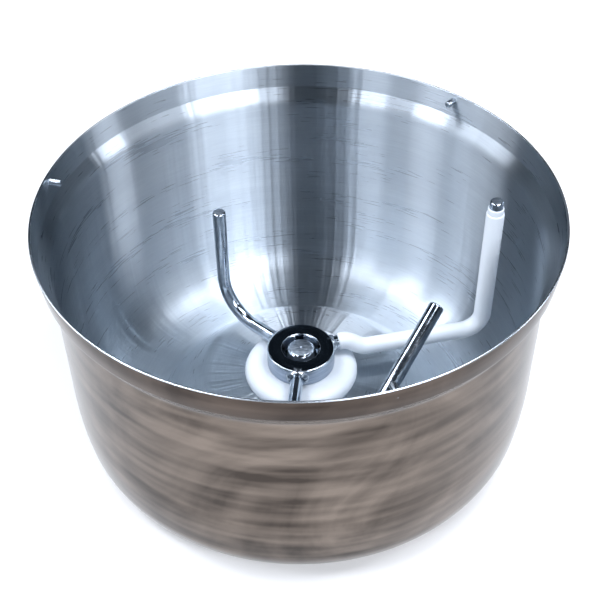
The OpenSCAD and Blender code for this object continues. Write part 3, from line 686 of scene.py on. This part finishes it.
def weld_bead(name, node, way, height, side_h, side_w, peak):
    """Weld metal where a rod enters the hub: a lump along each side of the rod, a peak with a crater on top.

    side_h and side_w are the side lumps' height and width, peak the height of the one on top."""
    side = Vector((-way.y, way.x, 0))
    centre = way * (HUB_R - WELD_INSET) + Vector((0, 0, height))
    inner = ROD_R - WELD_INSET

    def surface(around, across):
        """Point of the lumpy collar at an angle round the rod, from the rod (0) out to the hub's face (1)."""
        left = math.sin(around)
        up = math.cos(around)
        flank = abs(left) ** 1.6
        crest = max(0.0, up) ** 2
        ripple = 0.35 * math.sin(around * 9 + 0.6) + 0.25 * math.sin(around * 17 + 2.0)
        wide = inner + (side_w * flank + WELD_TOE * (1 - flank) + peak * crest * 0.7) * across
        tall = inner + (side_h * flank + WELD_TOE * (1 - flank) + peak * crest) * across
        bulge = math.sin(math.pi * min(1.0, across * 0.92 + 0.08)) ** 0.7
        out = (1.1 + 2.3 * flank + 2.2 * crest + ripple * 0.5) * MM * bulge
        crater = math.exp(-((around / 0.28) ** 2) - ((across - 0.45) / 0.24) ** 2) * peak * 0.75
        drop = math.sqrt(max(0.0, HUB_R ** 2 - (left * wide) ** 2)) - HUB_R
        fade = 1.0 if up < 0.2 else 1.0 - 0.35 * (up - 0.2)
        return (centre + side * left * wide + Vector((0, 0, up * tall * fade))
                + way * (out - crater + drop * across))

    work = bmesh.new()
    angles = [math.remainder(math.tau * k / WELD_STEPS, math.tau) for k in range(WELD_STEPS)]
    rings = [[work.verts.new(surface(a, row / WELD_ROWS)) for a in angles] for row in range(WELD_ROWS + 1)]
    rings += [[work.verts.new(v.co - way * WELD_ROOT_D) for v in ring] for ring in (rings[-1], rings[0])]
    rings.append(rings[0])
    for here, there in zip(rings, rings[1:]):
        for k in range(WELD_STEPS):
            j = (k + 1) % WELD_STEPS
            work.faces.new([here[k], here[j], there[j], there[k]])
    bmesh.ops.recalc_face_normals(work, faces=work.faces)
    finished(name, work, [WELD], "kneading_tool", [node], 60)


# ---------------------------------------------------------------- what repeats round the axis

def copies_tree():
    """Geometry nodes: copies of one piece, evenly round the axis."""
    tree = bpy.data.node_groups.new("copies_round_the_axis", "GeometryNodeTree")
    tree.is_modifier = True
    for name, kind in (("Geometry", "Geometry"), ("Count", "Int"), ("First Angle", "Float"),
                       ("Finish", "Material")):
        tree.interface.new_socket(name, in_out="INPUT", socket_type="NodeSocket" + kind)
    tree.interface.new_socket("Geometry", in_out="OUTPUT", socket_type="NodeSocketGeometry")
    given = add(tree, "NodeGroupInput").outputs
    points = add(tree, "GeometryNodePoints", {"Count": given["Count"], "Position": (0, 0, 0)})
    index = add(tree, "GeometryNodeInputIndex").outputs[0]
    step = add(tree, "ShaderNodeMath", {0: math.tau, 1: given["Count"]}, operation="DIVIDE").outputs[0]
    turn = add(tree, "ShaderNodeMath", {0: index, 1: step, 2: given["First Angle"]}, operation="MULTIPLY_ADD")
    rotation = add(tree, "ShaderNodeCombineXYZ", {"Z": turn.outputs[0]}).outputs[0]
    copies = add(tree, "GeometryNodeInstanceOnPoints", {"Points": points.outputs[0],
                                                        "Instance": given["Geometry"], "Rotation": rotation})
    real = add(tree, "GeometryNodeRealizeInstances", {"Geometry": copies.outputs[0]})
    painted = add(tree, "GeometryNodeSetMaterial", {"Geometry": real.outputs[0], "Material": given["Finish"]})
    add(tree, "NodeGroupOutput", {"Geometry": painted.outputs[0]})
    return tree


COPIES = copies_tree()


def around_axis(name, work, place, count, first, finish, body, nodes):
    """Makes one piece of count copies of a mesh, which is first put in its place at azimuth 0."""
    bmesh.ops.transform(work, matrix=place, verts=work.verts)
    bmesh.ops.recalc_face_normals(work, faces=work.faces)
    mesh = bpy.data.meshes.new(name)
    work.to_mesh(mesh)
    work.free()
    mesh.shade_smooth()
    mesh.set_sharp_from_angle(angle=math.radians(30))
    source = bpy.data.objects.new(name + "_one", mesh)
    bpy.context.scene.collection.objects.link(source)
    copies = source.modifiers.new("copies", "NODES")
    copies.node_group = COPIES
    wanted = {"Count": count, "First Angle": math.radians(first), "Finish": finish}
    for item in COPIES.interface.items_tree:
        if item.in_out == "INPUT" and item.name in wanted:
            copies[item.identifier] = wanted[item.name]
    source.update_tag()
    bpy.context.view_layer.update()
    shown = source.evaluated_get(bpy.context.evaluated_depsgraph_get())
    piece = bpy.data.objects.new(name, bpy.data.meshes.new_from_object(shown))
    bpy.data.objects.remove(source)
    bpy.context.scene.collection.objects.link(piece)
    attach(piece, body)
    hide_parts(*nodes)


def turned_pin(radius, low, high, edge):
    """A small turned pin on its own axis, rounded at its top."""
    crown = arc((radius - edge, high - edge), edge, 0, 90, 5)
    outline = [Vector((0, low)), Vector((radius, low))] + crown + [Vector((0, high))]
    return revolve(outline, [0] * len(outline), 32)


LID_PIN_AZ = 47.8
LID_PIN_LENGTH = 9.5 * MM
PIN_R = 2.5 * MM
STUD_RING_R = 31.5 * MM
BALL_R = 1.75 * MM
BALL_RING_R = 13 * MM


def small_parts():
    """The lid pins, the studs under the floor and the bearings' balls."""
    pin_z = (bottom("lid_pin_left") + top("lid_pin_left")) / 2
    outer = RIM_R - (RIM_Z - pin_z) * math.tan(math.radians(COLLAR_FLARE)) - 0.3 * MM
    inward = Matrix.Translation((outer, 0, pin_z)) @ Matrix.Rotation(math.radians(-90), 4, "Y")
    around_axis("lid_pins", turned_pin(PIN_R, 0, LID_PIN_LENGTH, 1.2 * MM), inward, 3, LID_PIN_AZ, MACHINED,
                "bowl", ["lid_pin_right", "lid_pin_left", "lid_pin_front"])
    low, high = bottom("floor_studs"), FLOOR_TOP - SHEET - 0.02 * MM
    place = Matrix.Translation((STUD_RING_R, 0, low))
    around_axis("welded_studs", turned_pin(PIN_R, 0, high - low, 0.01 * MM), place, 6, 0, MACHINED,
                "bowl", ["floor_studs"])
    for name, node in (("upper_bearing_balls", "upper_balls"), ("lower_bearing_balls", "lower_balls")):
        ball = bmesh.new()
        bmesh.ops.create_icosphere(ball, subdivisions=3, radius=BALL_R)
        middle = (bottom(node) + top(node)) / 2
        around_axis(name, ball, Matrix.Translation((BALL_RING_R, 0, middle)), 11, 0, BEARING,
                    "bowl", [node])


# ---------------------------------------------------------------- the pieces

bowl()
hub()
splash_disc()
shaft()
short_way, swept_way = arms()
sleeve()
SLEEVED_WAY = Vector((23.9, 10.2, 0)).normalized()
SLEEVED_EXIT_Z = 57.5 * MM
weld_bead("short_arm_bead", "short_arm_weld", short_way, ARM_Z, 2.4 * MM, 2.0 * MM, 1.6 * MM)
weld_bead("swept_arm_bead", "swept_arm_weld", swept_way, ARM_Z, 3.0 * MM, 4.6 * MM, 4.2 * MM)
weld_bead("sleeved_arm_bead", "sleeved_arm_weld", SLEEVED_WAY, SLEEVED_EXIT_Z, 2.6 * MM, 2.6 * MM, 2.4 * MM)
small_parts()

CARRIED = {
    BEARING: ["upper_outer_race", "upper_inner_race", "lower_outer_race", "lower_inner_race"],
    MACHINED: ["outer_spacer", "inner_spacer", "stud_washers", "stud_nuts", "disc_screws"],
    BLACK_OXIDE: ["housing_circlip", "drive_key", "dog_screw"],
    CAST: ["bearing_housing", "lock_ring", "drive_dog"],
    BRONZE: ["thrust_washer"],
    RUBBER: ["housing_gasket", "shaft_seal"],
}
for finish, names in CARRIED.items():
    for node_name in names:
        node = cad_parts[node_name]
        node.data.materials.clear()
        node.data.materials.append(finish)


# ---------------------------------------------------------------- studio

FLOOR_HALF = 6.0


def floor():
    # Pale matt acrylic over a light table: plain, with the slightest unevenness and a soft glow of its own.
    made, tree, shader = material("matt_studio_floor", {
        "Specular IOR Level": 0.2, "Emission Color": linear("F8F8F7"), "Emission Strength": 0.12})
    place = add(tree, "ShaderNodeTexCoord").outputs["Object"]
    tone = add(tree, "ShaderNodeTexNoise", {"Vector": place, "Scale": 1.5, "Detail": 2.0}).outputs["Fac"]
    lead(tree, shader, (tone, "F1F1F0", "F5F5F4"), (tone, 0.8, 0.8))
    mesh = bpy.data.meshes.new("studio_floor")
    corners = [(x * FLOOR_HALF, y * FLOOR_HALF, 0) for x, y in ((-1, -1), (1, -1), (1, 1), (-1, 1))]
    mesh.from_pydata(corners, [], [(0, 1, 2, 3)])
    mesh.materials.append(made)
    plane = bpy.data.objects.new("studio_floor", mesh)
    bpy.context.scene.collection.objects.link(plane)


def softbox(place, aim, side, power, tint):
    """A square studio light at a place, turned towards a point."""
    data = bpy.data.lights.new("softbox", "AREA")
    data.shape = "SQUARE"
    data.size = side
    data.energy = power
    data.color = linear(tint)[:3]
    lamp = bpy.data.objects.new("softbox", data)
    bpy.context.scene.collection.objects.link(lamp)
    lamp.location = place
    lamp.rotation_mode = "QUATERNION"
    lamp.rotation_quaternion = (aim - place).to_track_quat("-Z", "Y")


# Softboxes round the bowl: azimuth and height in degrees, and power in watts. They stand to the left and the
# right, none straight in front or behind, so that the wall shows a dark middle between bright streaks.
SOFTBOXES = [
    (150, 60, 6), (165, 46, 4), (165, 26, 3), (195, 60, 6), (200, 36, 6), (225, 60, 4), (232, 31, 4),
    (285, 36, 4), (300, 38, 9), (315, 26, 4), (330, 60, 4), (0, 75, 8), (0, 60, 4), (5, 26, 6), (25, 60, 3),
]
SOFTBOX_AWAY = 1.6
SOFTBOX_SIDE = 0.34
SOFTBOX_TINT = "F2F6FF"
LIT_POINT = Vector((0, 0, 0.12))


def studio():
    """A dim cool room with softboxes, so that the steel has something bright and something dark to show."""
    world = bpy.data.worlds.new("studio")
    bpy.context.scene.world = world
    world.use_nodes = True
    world.node_tree.nodes.clear()
    sky = add(world.node_tree, "ShaderNodeBackground", {"Color": linear("8494A6"), "Strength": 0.14})
    add(world.node_tree, "ShaderNodeOutputWorld", {"Surface": sky.outputs[0]})
    for azimuth, height, power in SOFTBOXES:
        way = Vector((cos(azimuth) * cos(height), sin(azimuth) * cos(height), sin(height)))
        softbox(LIT_POINT + way * SOFTBOX_AWAY, LIT_POINT, SOFTBOX_SIDE, power, SOFTBOX_TINT)


CAMERA_BACK = 605.7 * MM
CAMERA_UP = 668.7 * MM
CAMERA_PITCH = 42.58
CAMERA_ROLL = 0.95
CAMERA_LENS = 67.97


def camera():
    """Looks down into the bowl from the front, the way someone standing at the table sees it."""
    data = bpy.data.cameras.new("camera")
    data.lens = CAMERA_LENS
    data.sensor_width = 36
    data.clip_start, data.clip_end = 0.01, 50
    made = bpy.data.objects.new("camera", data)
    bpy.context.scene.collection.objects.link(made)
    made.matrix_world = (Matrix.Translation((0, -CAMERA_BACK, CAMERA_UP))
                         @ Matrix.Rotation(math.radians(90 - CAMERA_PITCH), 4, "X")
                         @ Matrix.Rotation(math.radians(-CAMERA_ROLL), 4, "Z"))
    bpy.context.scene.camera = made


floor()
studio()
camera()
bpy.context.scene.view_settings.view_transform = "Standard"
